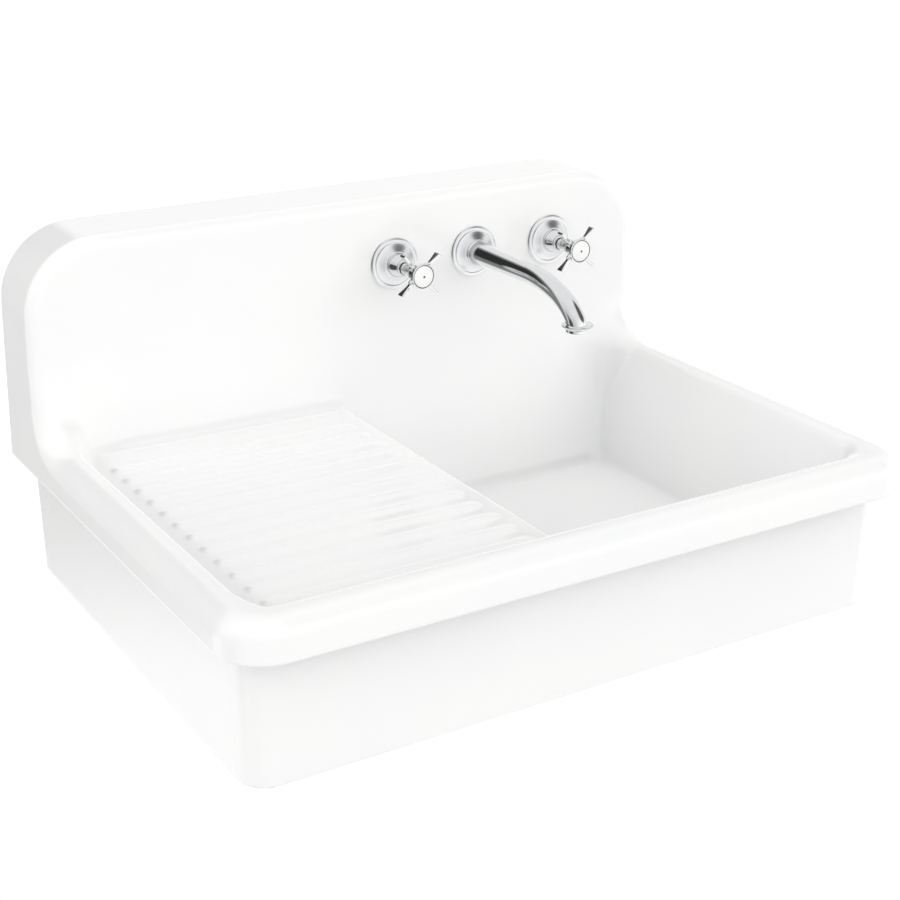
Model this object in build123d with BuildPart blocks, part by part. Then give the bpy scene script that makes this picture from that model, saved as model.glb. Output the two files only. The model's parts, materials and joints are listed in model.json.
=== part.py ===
from build123d import *
import math
import os

os.makedirs("parts", exist_ok=True)

# ---------------------------------------------------------------------------
# Wall-hung kitchen sink with integral ribbed drainboard and high backsplash,
# three-hole wall mixer set, basket strainer waste and wall hanger.
# Millimetres. X to the right, Y into the wall, Z up.
# Origin: on the wall plane, at the centre of the hanger's four screw holes.
# Heights in the list below are measured from the bottom edge of the apron;
# up(h) turns such a height into Z.
# ---------------------------------------------------------------------------

# overall casting
WIDTH = 737.0            # over the rolled rim
DEPTH = 559.0            # wall to front of the rim
HEIGHT = 381.0           # bottom of apron to top of backsplash
HANGER_H = 321.0         # height of the hanger's screw pattern

# rim, apron and walls
RIM_H = 179.0            # top of the rolled rim
LIP_H = 139.0            # bottom of the rim's lip
RIM_CORNER = 47.0        # plan radius of the rim's front corners
RIM_ROLL = 14.0          # outer roll of the rim and of the backsplash edge
LIP_ROLL = 6.0
APRON_LEFT = 342.6       # apron sides at the foot, from the middle of the sink
APRON_RIGHT = 353.0
APRON_FRONT = 517.0
APRON_CORNER_L = 28.0    # plan radii of the apron's front corners
APRON_CORNER_R = 16.0
APRON_DRAFT = 0.9
WALL = 8.0

# backsplash
FACE_Y = -84.0           # front face of the backsplash
COVE = 55.0              # concave sweep from backsplash to rim top
BOARD_COVE = 30.0        # and from backsplash to drainboard
SPLASH_CORNER = 74.0     # outline radius of the two top corners
SIDE_DRAFT = 1.5         # inward lean of the rim and backsplash sides, degrees

# recess, drainboard, basin
RECESS_HALF = 335.0
RECESS_FRONT = 512.0
RECESS_CORNER = 24.0
RIM_INNER_ROLL = 14.0
BOARD_H_LEFT = 163.5     # drainboard surface at the left rim
BOARD_H_RIGHT = 159.0    # and at the basin edge
BASIN_LEFT = -28.0
BASIN_FLOOR_H = 32.0
BASIN_FLOOR = (-2.0, 306.0, -492.0, -112.0)   # x0, x1, y0, y1 at the floor
BASIN_FLOOR_FILLET = 18.0
RIB_COUNT = 12
RIB_PITCH = 30.85
RIB_FIRST_Y = -155.5
RIB_X = (-314.0, -43.0)
RIB_WIDTH = 20.0
RIB_HEIGHT = 3.2

# mixer set
TAP_H = 307.0
SPOUT_X = 146.5
TAP_SPREAD = 101.6       # each tap from the spout, 203.2 between the taps
TAP_HOLE_R = 17.0
HOT_REST = -4.0          # rest angle of the hot cross from a true X
COLD_REST = 1.0

# waste
DRAIN_X = 155.0
DRAIN_Y = -335.0
DRAIN_R = 45.0

# hanger
HANGER_SPAN_X = 400.0
HANGER_SPAN_Z = 26.0
HANGER_HOLE_R = 4.5


def up(h):
    return h - HANGER_H


def write(holder, name):
    holder.part.label = name
    export_step(holder.part, "parts/" + name + ".step")


# ---------------------------------------------------------------------------
# Enamelled cast-iron sink, one open-backed shell
# ---------------------------------------------------------------------------
with BuildPart() as sink_casting:
    # side section: lip, rim top, concave sweep, backsplash
    with BuildSketch(Plane.YZ.offset(-WIDTH / 2)) as side_section:
        with BuildLine():
            Polyline(
                (FACE_Y - COVE, up(RIM_H)),
                (-DEPTH - 5, up(RIM_H)),
                (-DEPTH - 5, up(LIP_H)),
                (0, up(LIP_H)),
                (0, up(HEIGHT)),
                (FACE_Y, up(HEIGHT)),
                (FACE_Y, up(RIM_H + COVE)),
            )
            ThreePointArc(
                (FACE_Y, up(RIM_H + COVE)),
                (FACE_Y - COVE + COVE * math.sin(math.pi / 4),
                 up(RIM_H + COVE) - COVE * math.cos(math.pi / 4)),
                (FACE_Y - COVE, up(RIM_H)),
            )
        make_face()
    extrude(amount=WIDTH)
    # plan outline: rounded front corners, sides leaning in by the casting draft
    with BuildSketch(Plane.XY.offset(up(LIP_H))) as plan_outline:
        with Locations((0, -DEPTH / 2 + 10)):
            Rectangle(WIDTH, DEPTH + 20)
        fillet(plan_outline.vertices().group_by(Axis.Y)[0], RIM_CORNER)
    extrude(amount=HEIGHT, taper=SIDE_DRAFT, mode=Mode.INTERSECT)
    top_x = WIDTH / 2 - (HEIGHT - LIP_H) * math.tan(math.radians(SIDE_DRAFT))
    # rounded top corners of the backsplash
    corner_edges = [
        e for e in sink_casting.edges()
        if abs(e.center().Z - up(HEIGHT)) < 0.01 and abs(e.center().X) > top_x - 0.1
    ]
    fillet(corner_edges, SPLASH_CORNER)

    # one continuous rolled edge: rim, sweep, backsplash sides and top
    roll_edges = [
        e for e in sink_casting.edges()
        if e.center().Y < -1.0
        and e.bounding_box().max.Y < -1.0
        and e.center().Z > up(RIM_H) - 0.5
        and not (abs(e.center().X) < 300 and e.center().Y > FACE_Y - COVE - 1
                 and e.center().Z < up(RIM_H + COVE) + 1)
    ]
    fillet(roll_edges, RIM_ROLL)
    lip_edges = [
        e for e in sink_casting.edges()
        if abs(e.center().Z - up(LIP_H)) < 0.01 and e.bounding_box().max.Z < up(LIP_H) + 0.01
        and (e.center().Y < -DEPTH + 60 or abs(e.center().X) > WIDTH / 2 - 1)
        and e.center().Y < -1.0
    ]
    fillet(lip_edges, LIP_ROLL)

    # apron, drafted and open at the back
    with BuildSketch(Plane.XY.offset(up(0))) as apron_plan:
        with Locations(((APRON_RIGHT - APRON_LEFT) / 2, -APRON_FRONT / 2 + 10)):
            Rectangle(APRON_LEFT + APRON_RIGHT, APRON_FRONT + 20)
        fillet(apron_plan.vertices().group_by(Axis.Y)[0].sort_by(Axis.X)[0], APRON_CORNER_L)
        fillet(apron_plan.vertices().group_by(Axis.Y)[0].sort_by(Axis.X)[-1], APRON_CORNER_R)
    extrude(amount=LIP_H + 10, taper=-APRON_DRAFT)

    # hollow under the drainboard and behind the basin
    with BuildSketch(Plane.XY.offset(up(-1))) as under_plan:
        with Locations(((APRON_RIGHT - APRON_LEFT) / 2, -(APRON_FRONT - WALL) / 2 + 15)):
            Rectangle(APRON_LEFT + APRON_RIGHT - 2 * WALL, APRON_FRONT - WALL + 30)
        fillet(under_plan.vertices().group_by(Axis.Y)[0].sort_by(Axis.X)[0], APRON_CORNER_L - WALL)
        fillet(under_plan.vertices().group_by(Axis.Y)[0].sort_by(Axis.X)[-1], APRON_CORNER_R - WALL)
    extrude(amount=152.0 + 1, taper=-APRON_DRAFT, mode=Mode.SUBTRACT)
    # hollow of the backsplash, open to the wall
    with BuildSketch(Plane.XZ) as splash_hollow:
        with BuildLine():
            Line((0, up(LIP_H + WALL)), (WIDTH / 2 - WALL, up(LIP_H + WALL)))
            Line((WIDTH / 2 - WALL, up(LIP_H + WALL)), (top_x - WALL, up(HEIGHT - WALL)))
            Line((top_x - WALL, up(HEIGHT - WALL)), (0, up(HEIGHT - WALL)))
            mirror(about=Plane.YZ)
        make_face()
        fillet(splash_hollow.vertices().group_by(Axis.Y)[-1].sort_by(Axis.X)[0], SPLASH_CORNER - WALL)
        fillet(splash_hollow.vertices().group_by(Axis.Y)[-1].sort_by(Axis.X)[-1], SPLASH_CORNER - WALL)
    extrude(amount=-FACE_Y - WALL, mode=Mode.SUBTRACT)
    # channel under the rolled rim, between lip and apron
    with BuildSketch(Plane.XY.offset(up(LIP_H - 1))) as rim_channel:
        with Locations((0, -(DEPTH - WALL) / 2 - WALL / 2)):
            Rectangle(WIDTH - 2 * WALL, DEPTH - 2 * WALL)
        fillet(rim_channel.vertices().group_by(Axis.Y)[0], RIM_CORNER - WALL)
        with Locations(((APRON_RIGHT - APRON_LEFT) / 2, -(APRON_FRONT + 2.5) / 2)):
            Rectangle(APRON_LEFT + APRON_RIGHT + 5, APRON_FRONT + 2.5, mode=Mode.SUBTRACT)
    extrude(amount=RIM_H - WALL - LIP_H + 1, mode=Mode.SUBTRACT)

    # outside of the basin
    x0, x1, y0, y1 = BASIN_FLOOR
    with BuildSketch(Plane.XY.offset(up(BASIN_FLOOR_H - WALL))) as bowl_foot:
        with Locations(((x0 + x1) / 2, (y0 + y1) / 2)):
            RectangleRounded(x1 - x0 + 2 * WALL - 2, y1 - y0 + 2 * WALL - 2, 36)
    with BuildSketch(Plane.XY.offset(up(165))) as bowl_head:
        bx0, bx1 = BASIN_LEFT - WALL, RECESS_HALF + 7.0
        by0, by1 = -RECESS_FRONT - 6.5, FACE_Y + WALL
        with Locations(((bx0 + bx1) / 2, (by0 + by1) / 2)):
            RectangleRounded(bx1 - bx0, by1 - by0, 32)
    loft()

    # recess of drainboard and basin, from the rim down to the drainboard
    with BuildSketch(Plane.XY.offset(up(BOARD_H_LEFT))) as recess_plan:
        with Locations((0, (FACE_Y - RECESS_FRONT) / 2)):
            Rectangle(2 * RECESS_HALF, RECESS_FRONT + FACE_Y)
        fillet(recess_plan.vertices().group_by(Axis.Y)[0], RECESS_CORNER)
    extrude(amount=120, mode=Mode.SUBTRACT)
    # inner roll of the rim
    inner_edges = [
        e for e in sink_casting.edges()
        if e.bounding_box().min.Z > up(RIM_H) - 0.01
        and e.bounding_box().max.Z < up(RIM_H) + 0.01
        and abs(e.center().X) < RECESS_HALF + 0.1
        and e.center().Y > -RECESS_FRONT - 0.1
        and e.bounding_box().max.Y < FACE_Y - COVE + 0.5
    ]
    fillet(inner_edges, RIM_INNER_ROLL)
    # fall of the drainboard towards the basin
    with BuildSketch(Plane.XZ.offset(-FACE_Y)) as board_fall:
        with BuildLine():
            Polyline(
                (-RECESS_HALF, up(BOARD_H_LEFT)),
                (BASIN_LEFT, up(BOARD_H_RIGHT)),
                (RECESS_HALF, up(BOARD_H_RIGHT)),
                (RECESS_HALF, up(BOARD_H_LEFT + 1)),
                (-RECESS_HALF, up(BOARD_H_LEFT + 1)),
                close=True,
            )
        make_face()
    extrude(amount=RECESS_FRONT + FACE_Y - RECESS_CORNER, mode=Mode.SUBTRACT)
    with BuildSketch(Plane.XZ.offset(RECESS_FRONT - RECESS_CORNER)) as board_fall_front:
        with BuildLine():
            Polyline(
                (-RECESS_HALF + RECESS_CORNER, up(BOARD_H_LEFT) - 0.3),
                (BASIN_LEFT, up(BOARD_H_RIGHT)),
                (RECESS_HALF - RECESS_CORNER, up(BOARD_H_RIGHT)),
                (RECESS_HALF - RECESS_CORNER, up(BOARD_H_LEFT + 1)),
                (-RECESS_HALF + RECESS_CORNER, up(BOARD_H_LEFT + 1)),
                close=True,
            )
        make_face()
    extrude(amount=RECESS_CORNER, mode=Mode.SUBTRACT)
    # concave sweep from the drainboard up to the backsplash
    with BuildSketch(Plane.YZ.offset(-RECESS_HALF - 1)) as board_cove:
        with BuildLine():
            Polyline(
                (FACE_Y, up(BOARD_H_LEFT + BOARD_COVE)),
                (FACE_Y + 4, up(BOARD_H_LEFT + BOARD_COVE)),
                (FACE_Y + 4, up(BOARD_H_RIGHT - 2)),
                (FACE_Y - BOARD_COVE, up(BOARD_H_RIGHT - 2)),
                (FACE_Y - BOARD_COVE, up(BOARD_H_LEFT)),
            )
            ThreePointArc(
                (FACE_Y - BOARD_COVE, up(BOARD_H_LEFT)),
                (FACE_Y - BOARD_COVE + BOARD_COVE * math.sin(math.pi / 4),
                 up(BOARD_H_LEFT + BOARD_COVE) - BOARD_COVE * math.cos(math.pi / 4)),
                (FACE_Y, up(BOARD_H_LEFT + BOARD_COVE)),
            )
        make_face()
    extrude(amount=RECESS_HALF + 1 + BASIN_LEFT - 6)

    # inside of the basin
    with BuildSketch(Plane.XY.offset(up(BASIN_FLOOR_H))) as basin_foot:
        with Locations(((x0 + x1) / 2, (y0 + y1) / 2)):
            RectangleRounded(x1 - x0, y1 - y0, 30)
    with BuildSketch(Plane.XY.offset(up(165))) as basin_head:
        with Locations(((BASIN_LEFT + RECESS_HALF) / 2, (FACE_Y - RECESS_FRONT) / 2)):
            RectangleRounded(RECESS_HALF - BASIN_LEFT, RECESS_FRONT + FACE_Y, 25)
    loft(mode=Mode.SUBTRACT)
    floor_edges = [
        e for e in sink_casting.edges()
        if e.bounding_box().max.Z < up(BASIN_FLOOR_H) + 0.01
        and e.bounding_box().min.Z > up(BASIN_FLOOR_H) - 0.01
    ]
    fillet(floor_edges, BASIN_FLOOR_FILLET)
    # ribs of the drainboard
    slope = math.atan((BOARD_H_LEFT - BOARD_H_RIGHT) / (RECESS_HALF + BASIN_LEFT))
    board_plane = Plane(
        origin=((RIB_X[0] + RIB_X[1]) / 2, RIB_FIRST_Y - RIB_PITCH * (RIB_COUNT - 1) / 2,
                up(BOARD_H_LEFT) - math.tan(slope) * ((RIB_X[0] + RIB_X[1]) / 2 + RECESS_HALF) - 0.5),
        x_dir=(math.cos(slope), 0, -math.sin(slope)),
        z_dir=(math.sin(slope), 0, math.cos(slope)),
    )
    with BuildSketch(board_plane) as rib_plan:
        with GridLocations(1, RIB_PITCH, 1, RIB_COUNT):
            SlotOverall(RIB_X[1] - RIB_X[0], RIB_WIDTH)
    extrude(amount=RIB_HEIGHT + 0.5, taper=35)

    # tap and spout holes
    with BuildSketch(Plane.XZ.offset(-FACE_Y + 1)) as tap_holes:
        with Locations((SPOUT_X - TAP_SPREAD, up(TAP_H)), (SPOUT_X, up(TAP_H)),
                       (SPOUT_X + TAP_SPREAD, up(TAP_H))):
            Circle(TAP_HOLE_R)
    extrude(amount=-WALL - 4, mode=Mode.SUBTRACT)
    # waste hole and its rebate
    with BuildSketch(Plane.XY.offset(up(BASIN_FLOOR_H - 2.5))) as drain_rebate:
        with Locations((DRAIN_X, DRAIN_Y)):
            Circle(58.0)
    extrude(amount=6, mode=Mode.SUBTRACT)
    with BuildSketch(Plane.XY.offset(up(BASIN_FLOOR_H - WALL - 4))) as drain_hole:
        with Locations((DRAIN_X, DRAIN_Y)):
            Circle(DRAIN_R)
    extrude(amount=20, mode=Mode.SUBTRACT)
    # hanging flange behind the top of the backsplash
    with BuildSketch(Plane.XY.offset(up(347))) as hang_flange:
        with Locations((0, -9)):
            Rectangle(500, 8)
    extrude(amount=HEIGHT - 347 - WALL / 2)
    # trim flush with the wall
    with BuildSketch(Plane.XY.offset(up(-5))) as wall_trim:
        with Locations((0, 30)):
            Rectangle(WIDTH + 20, 60)
    extrude(amount=HEIGHT + 10, mode=Mode.SUBTRACT)
write(sink_casting, "sink_casting")


# ---------------------------------------------------------------------------
# Mixer set. Each turned piece is drawn in an axial plane whose local x is the
# radius from the tap axis and local y the distance out of the backsplash face
# (negative behind the face), then revolved about the tap axis.
# ---------------------------------------------------------------------------
def axial(x):
    return Plane(origin=(x, FACE_Y, up(TAP_H)), x_dir=(1, 0, 0), z_dir=(0, 0, -1))


def bore_axis(x):
    return Axis((x, FACE_Y, up(TAP_H)), (0, -1, 0))


def facing(x, t):
    # plane parallel to the backsplash, t in front of its face, looking out
    return Plane(origin=(x, FACE_Y - t, up(TAP_H)), x_dir=(1, 0, 0), z_dir=(0, -1, 0))


PORT_T = -30.0           # side ports and transfer pipes, behind the face
INLET_T = -47.0          # inlet port, behind the face
SHANK_R = 13.2           # threaded shank of the valve bodies
INLET_R = 10.48          # half-inch pipe thread of the inlets
PIPE_R = 6.0             # transfer pipes
STUB_R = 8.0             # threaded stubs for the compression nuts
ARM_T = 55.0             # plane of the cross arms
ARM_LENGTH = 31.0

ESCUTCHEON_PROFILE = [
    (13.35, 1.6), (25.0, 1.6), (25.0, 0.0), (28.6, 0.0), (28.6, 1.8), (27.7, 3.0),
    (25.8, 3.7), (24.2, 3.5), (23.7, 2.9), (22.8, 3.1), (20.4, 4.3), (17.4, 6.3),
    (15.3, 8.1), (14.6, 8.6), (13.35, 8.6),
]


def build_tap(side, x, inward, rest):
    """One tap: side is its name, inward +1 or -1 towards the spout, rest its angle."""
    with BuildPart() as escutcheon:
        with BuildSketch(axial(x)):
            with BuildLine():
                Polyline(*ESCUTCHEON_PROFILE, close=True)
            make_face()
        revolve(axis=bore_axis(x))
    write(escutcheon, side + "_escutcheon")

    with BuildPart() as seal:
        with BuildSketch(axial(x)):
            with BuildLine():
                Polyline((14.0, 0.0), (24.8, 0.0), (24.8, 1.6), (14.0, 1.6), close=True)
            make_face()
        revolve(axis=bore_axis(x))
    write(seal, side + "_escutcheon_seal")

    with BuildPart() as washer:
        with BuildSketch(facing(x, -11.0)):
            Circle(22.0)
            Circle(13.3, mode=Mode.SUBTRACT)
        extrude(amount=3.0)
    write(washer, side + "_rear_washer")

    with BuildPart() as backnut:
        with BuildSketch(facing(x, -20.5)):
            RegularPolygon(18.0, 6, major_radius=False)
            Circle(13.25, mode=Mode.SUBTRACT)
        extrude(amount=9.5)
        chamfer(backnut.edges().filter_by(GeomType.CIRCLE), 0.6)
    write(backnut, side + "_backnut")

    with BuildPart() as valve_body:
        with BuildSketch(axial(x)):
            with BuildLine():
                Polyline(
                    (0, -62.0), (14.5, -62.0), (16.0, -60.5), (16.0, -22.5), (SHANK_R, -22.5),
                    (SHANK_R, 6.0), (0, 6.0), close=True,
                )
            make_face()
        revolve(axis=bore_axis(x))
        # outlet stub towards the spout
        with BuildSketch(Plane(origin=(x, FACE_Y - PORT_T, up(TAP_H)), x_dir=(0, 1, 0),
                               z_dir=(inward, 0, 0))):
            Circle(STUB_R)
        extrude(amount=30.0)
        # inlet stub, downwards
        with BuildSketch(Plane(origin=(x, FACE_Y - INLET_T, up(TAP_H)), x_dir=(1, 0, 0),
                               z_dir=(0, 0, -1))):
            Circle(INLET_R)
        extrude(amount=34.0)
        # shoulder that stops the supply nut
        with BuildSketch(Plane(origin=(x, FACE_Y - INLET_T, up(TAP_H)), x_dir=(1, 0, 0),
                               z_dir=(0, 0, -1))):
            Circle(INLET_R + 2.5)
        extrude(amount=17.5)
        # cartridge bore and seat
        with BuildSketch(axial(x)):
            with BuildLine():
                Polyline((0, 7.0), (9.0, 7.0), (9.0, -38.0), (6.0, -38.0), (6.0, -56.0), (0, -56.0),
                         close=True)
            make_face()
        revolve(axis=bore_axis(x), mode=Mode.SUBTRACT)
        # waterways
        with BuildSketch(Plane(origin=(x, FACE_Y - PORT_T, up(TAP_H)), x_dir=(0, 1, 0),
                               z_dir=(inward, 0, 0))):
            Circle(4.6)
        extrude(amount=31.0, mode=Mode.SUBTRACT)
        with BuildSketch(Plane(origin=(x + inward * 21.5, FACE_Y - PORT_T, up(TAP_H)),
                               x_dir=(0, 1, 0), z_dir=(inward, 0, 0))):
            Circle(PIPE_R + 0.05)
        extrude(amount=10.0, mode=Mode.SUBTRACT)
        with BuildSketch(Plane(origin=(x, FACE_Y - INLET_T, up(TAP_H)), x_dir=(1, 0, 0),
                               z_dir=(0, 0, -1))):
            Circle(6.0)
        extrude(amount=35.0, mode=Mode.SUBTRACT)
    write(valve_body, side + "_valve_body")

    with BuildPart() as cartridge:
        with BuildSketch(axial(x)):
            with BuildLine():
                Polyline(
                    (8.95, -38.0), (8.95, -35.0), (8.2, -35.0), (8.2, -26.8), (8.95, -26.8),
                    (8.95, 6.0), (11.2, 6.0), (11.2, 10.5), (8.4, 10.5), (8.4, 15.6),
                    (6.4, 16.0), (6.4, 21.5), (4.05, 21.5), (4.05, -26.0), (7.6, -26.0),
                    (7.6, -38.0), close=True,
                )
            make_face()
        revolve(axis=bore_axis(x))
        with BuildSketch(Plane(origin=(x - 12, FACE_Y - (-29.4), up(TAP_H)), x_dir=(0, 1, 0),
                               z_dir=(1, 0, 0))):
            Circle(2.2)
        extrude(amount=24.0, mode=Mode.SUBTRACT)
    write(cartridge, side + "_cartridge")

    with BuildPart() as disc_fixed:
        with BuildSketch(facing(x, -38.0)):
            Circle(7.55)
            with Locations((0, 3.7), (0, -3.7)):
                Circle(2.3, mode=Mode.SUBTRACT)
        extrude(amount=3.0)
    write(disc_fixed, side + "_fixed_disc")

    with BuildPart() as disc_moving:
        with BuildSketch(facing(x, -34.95)):
            Circle(7.3)
            with Locations((3.7, 0), (-3.7, 0)):
                Circle(2.3, mode=Mode.SUBTRACT)
        extrude(amount=2.5)
    write(disc_moving, side + "_moving_disc")

    with BuildPart() as spindle:
        with BuildSketch(axial(x)):
            with BuildLine():
                Polyline(
                    (0, -32.45), (3.9, -32.45), (4.0, -26.5), (4.0, 22.0), (3.8, 22.4),
                    (3.8, 53.3), (3.4, 53.9), (2.0, 53.9), (2.0, 42.0), (0, 41.0), close=True,
                )
            make_face()
        revolve(axis=bore_axis(x))
        # drive bar that turns the moving disc
        with BuildSketch(facing(x, -32.45)):
            Rectangle(13.0, 3.6)
        extrude(amount=2.2)
    write(spindle, side + "_spindle")

    with BuildPart() as bonnet:
        with BuildSketch(axial(x)):
            with BuildLine():
                Polyline(
                    (11.4, 8.6), (13.8, 8.6), (13.8, 9.5), (13.0, 10.2), (12.8, 12.0),
                    (11.9, 14.5), (10.4, 17.6), (9.1, 20.2), (8.7, 21.2), (9.1, 21.7),
                    (9.1, 23.3), (8.5, 24.0), (6.8, 24.0), (6.8, 19.8), (8.8, 16.6),
                    (9.6, 14.4), (11.4, 10.9), close=True,
                )
            make_face()
        revolve(axis=bore_axis(x))
    write(bonnet, side + "_bonnet")

    with BuildPart() as cross_handle:
        with BuildSketch(axial(x)):
            with BuildLine():
                Polyline(
                    (3.85, 25.2), (5.8, 25.2), (6.3, 25.8), (6.3, 26.8), (5.5, 27.6),
                    (5.5, 34.0), (6.0, 37.0), (7.2, 40.5), (8.8, 44.5), (10.0, 48.0),
                    (10.4, 51.0), (10.4, 57.6), (11.4, 59.0), (13.2, 59.6), (13.8, 60.3),
                    (13.8, 63.2), (13.4, 64.0), (12.9, 64.2), (12.35, 63.9), (12.35, 60.6),
                    (4.3, 60.6), (4.3, 57.4), (2.1, 57.4), (2.1, 54.2), (3.85, 54.2),
                    close=True,
                )
            make_face()
        revolve(axis=bore_axis(x))
        for quarter in range(4):
            angle = math.radians(rest + 45 + 90 * quarter)
            d = (math.cos(angle), 0, math.sin(angle))
            # short round boss under the bezel
            with BuildSketch(Plane(
                origin=(x + 8.0 * d[0], FACE_Y - ARM_T, up(TAP_H) + 8.0 * d[2]),
                x_dir=(0, -1, 0), z_dir=d,
            )):
                Circle(4.3)
            extrude(amount=6.4)
            # flat blade, flaring to its tip
            with BuildSketch(Plane(
                origin=(x, FACE_Y - ARM_T, up(TAP_H)), x_dir=d, z_dir=(d[2], 0, -d[0]),
            )) as blade:
                with BuildLine():
                    Polyline(
                        (9.0, -2.7), (15.0, -2.5), (19.0, -2.8), (24.0, -3.7), (28.5, -4.9),
                        (30.2, -5.3), (ARM_LENGTH, -4.6), (ARM_LENGTH, 4.6), (30.2, 5.3),
                        (28.5, 4.9), (24.0, 3.7), (19.0, 2.8), (15.0, 2.5), (9.0, 2.7), close=True,
                    )
                make_face()
            extrude(amount=1.7, both=True)
    write(cross_handle, side + "_cross_handle")

    with BuildPart() as handle_screw:
        with BuildSketch(axial(x)):
            with BuildLine():
                Polyline((0, 44.0), (1.6, 44.0), (1.95, 44.5), (1.95, 57.4), (4.1, 57.4),
                         (4.1, 59.8), (3.7, 60.2), (0, 60.2), close=True)
            make_face()
        revolve(axis=bore_axis(x))
        with BuildSketch(facing(x, 58.4)):
            RegularPolygon(1.5, 6, major_radius=False)
        extrude(amount=3.0, mode=Mode.SUBTRACT)
    write(handle_screw, side + "_handle_screw")

    with BuildPart() as index_cap:
        with BuildSketch(axial(x)):
            with BuildLine():
                Polyline((0, 60.6), (12.25, 60.6), (12.25, 63.3), (11.7, 63.9), (9.5, 64.5),
                         (6.0, 65.0), (0, 65.2), close=True)
            make_face()
        revolve(axis=bore_axis(x))
    write(index_cap, side + "_index_cap")


HOT_X = SPOUT_X - TAP_SPREAD
COLD_X = SPOUT_X + TAP_SPREAD
build_tap("hot", HOT_X, 1, HOT_REST)
build_tap("cold", COLD_X, -1, COLD_REST)

# spout ----------------------------------------------------------------------
SPOUT_BEND_Y = -200.0
SPOUT_R = 10.7

with BuildPart() as spout_escutcheon:
    with BuildSketch(axial(SPOUT_X)):
        with BuildLine():
            Polyline(*ESCUTCHEON_PROFILE, close=True)
        make_face()
    revolve(axis=bore_axis(SPOUT_X))
write(spout_escutcheon, "spout_escutcheon")

with BuildPart() as spout_seal:
    with BuildSketch(axial(SPOUT_X)):
        with BuildLine():
            Polyline((14.0, 0.0), (24.8, 0.0), (24.8, 1.6), (14.0, 1.6), close=True)
        make_face()
    revolve(axis=bore_axis(SPOUT_X))
write(spout_seal, "spout_escutcheon_seal")

with BuildPart() as spout_shank:
    with BuildSketch(facing(SPOUT_X, -24.0)):
        Circle(10.4)
        Circle(7.5, mode=Mode.SUBTRACT)
    extrude(amount=44.0)
write(spout_shank, "spout_shank")

with BuildPart() as spout_washer:
    with BuildSketch(facing(SPOUT_X, -11.0)):
        Circle(22.0)
        Circle(10.5, mode=Mode.SUBTRACT)
    extrude(amount=3.0)
write(spout_washer, "spout_rear_washer")

with BuildPart() as spout_backnut:
    with BuildSketch(facing(SPOUT_X, -17.0)):
        RegularPolygon(15.0, 6, major_radius=False)
        Circle(10.45, mode=Mode.SUBTRACT)
    extrude(amount=6.0)
write(spout_backnut, "spout_backnut")

with BuildPart() as spout:
    # base and straight taper
    with BuildSketch(axial(SPOUT_X)):
        with BuildLine():
            Polyline(
                (0, 2.0), (13.2, 2.0), (13.2, 8.6), (14.4, 8.6), (14.6, 10.0), (14.0, 11.4),
                (13.2, 12.0), (12.5, 34.0), (11.9, 60.0), (11.3, 90.0),
                (SPOUT_R, FACE_Y - SPOUT_BEND_Y), (0, FACE_Y - SPOUT_BEND_Y), close=True,
            )
        make_face()
    revolve(axis=bore_axis(SPOUT_X))
    # bend
    with BuildLine(Plane.YZ.offset(SPOUT_X)) as bend:
        bend_a = JernArc(start=(SPOUT_BEND_Y, up(TAP_H)), tangent=(-1, 0), radius=170.0, arc_size=18)
        bend_b = JernArc(start=bend_a @ 1, tangent=bend_a % 1, radius=70.0, arc_size=30)
        bend_c = JernArc(start=bend_b @ 1, tangent=bend_b % 1, radius=14.0, arc_size=42)
    with BuildSketch(Plane(origin=(SPOUT_X, SPOUT_BEND_Y, up(TAP_H)), x_dir=(1, 0, 0),
                           z_dir=(0, -1, 0))):
        Circle(SPOUT_R)
    sweep(path=bend.line)
    outlet = bend_c @ 1
    # flared lip and nozzle
    with BuildSketch(Plane(origin=(SPOUT_X, outlet.Y, up(0)), x_dir=(1, 0, 0), z_dir=(0, -1, 0))):
        with BuildLine():
            Polyline(
                (0, 275.5), (10.9, 275.2), (13.0, 273.9), (16.3, 274.7), (16.9, 274.2),
                (16.3, 272.8), (12.8, 271.3), (12.2, 270.6), (12.2, 267.6), (11.8, 267.0),
                (0, 267.0), close=True,
            )
        make_face()
    revolve(axis=Axis((SPOUT_X, outlet.Y, up(0)), (0, 0, 1)))
    # waterway
    with BuildSketch(axial(SPOUT_X)):
        with BuildLine():
            Polyline((0, 1.0), (10.45, 1.0), (10.45, 22.0), (8.0, 23.0),
                     (8.0, FACE_Y - SPOUT_BEND_Y), (0, FACE_Y - SPOUT_BEND_Y), close=True)
        make_face()
    revolve(axis=bore_axis(SPOUT_X), mode=Mode.SUBTRACT)
    with BuildSketch(Plane(origin=(SPOUT_X, SPOUT_BEND_Y, up(TAP_H)), x_dir=(1, 0, 0),
                           z_dir=(0, -1, 0))):
        Circle(8.0)
    sweep(path=bend.line, mode=Mode.SUBTRACT)
    with BuildSketch(Plane(origin=(SPOUT_X, outlet.Y, up(266.0)), x_dir=(1, 0, 0), z_dir=(0, 0, 1))):
        Circle(9.2)
    extrude(amount=5.5, mode=Mode.SUBTRACT)
write(spout, "spout")

with BuildPart() as straightener:
    with BuildSketch(Plane(origin=(SPOUT_X, outlet.Y, up(267.3)), x_dir=(1, 0, 0), z_dir=(0, 0, 1))):
        Circle(9.15)
        with HexLocations(1.75, 5, 5):
            Circle(1.15, mode=Mode.SUBTRACT)
    extrude(amount=4.2)
write(straightener, "flow_straightener")

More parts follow.
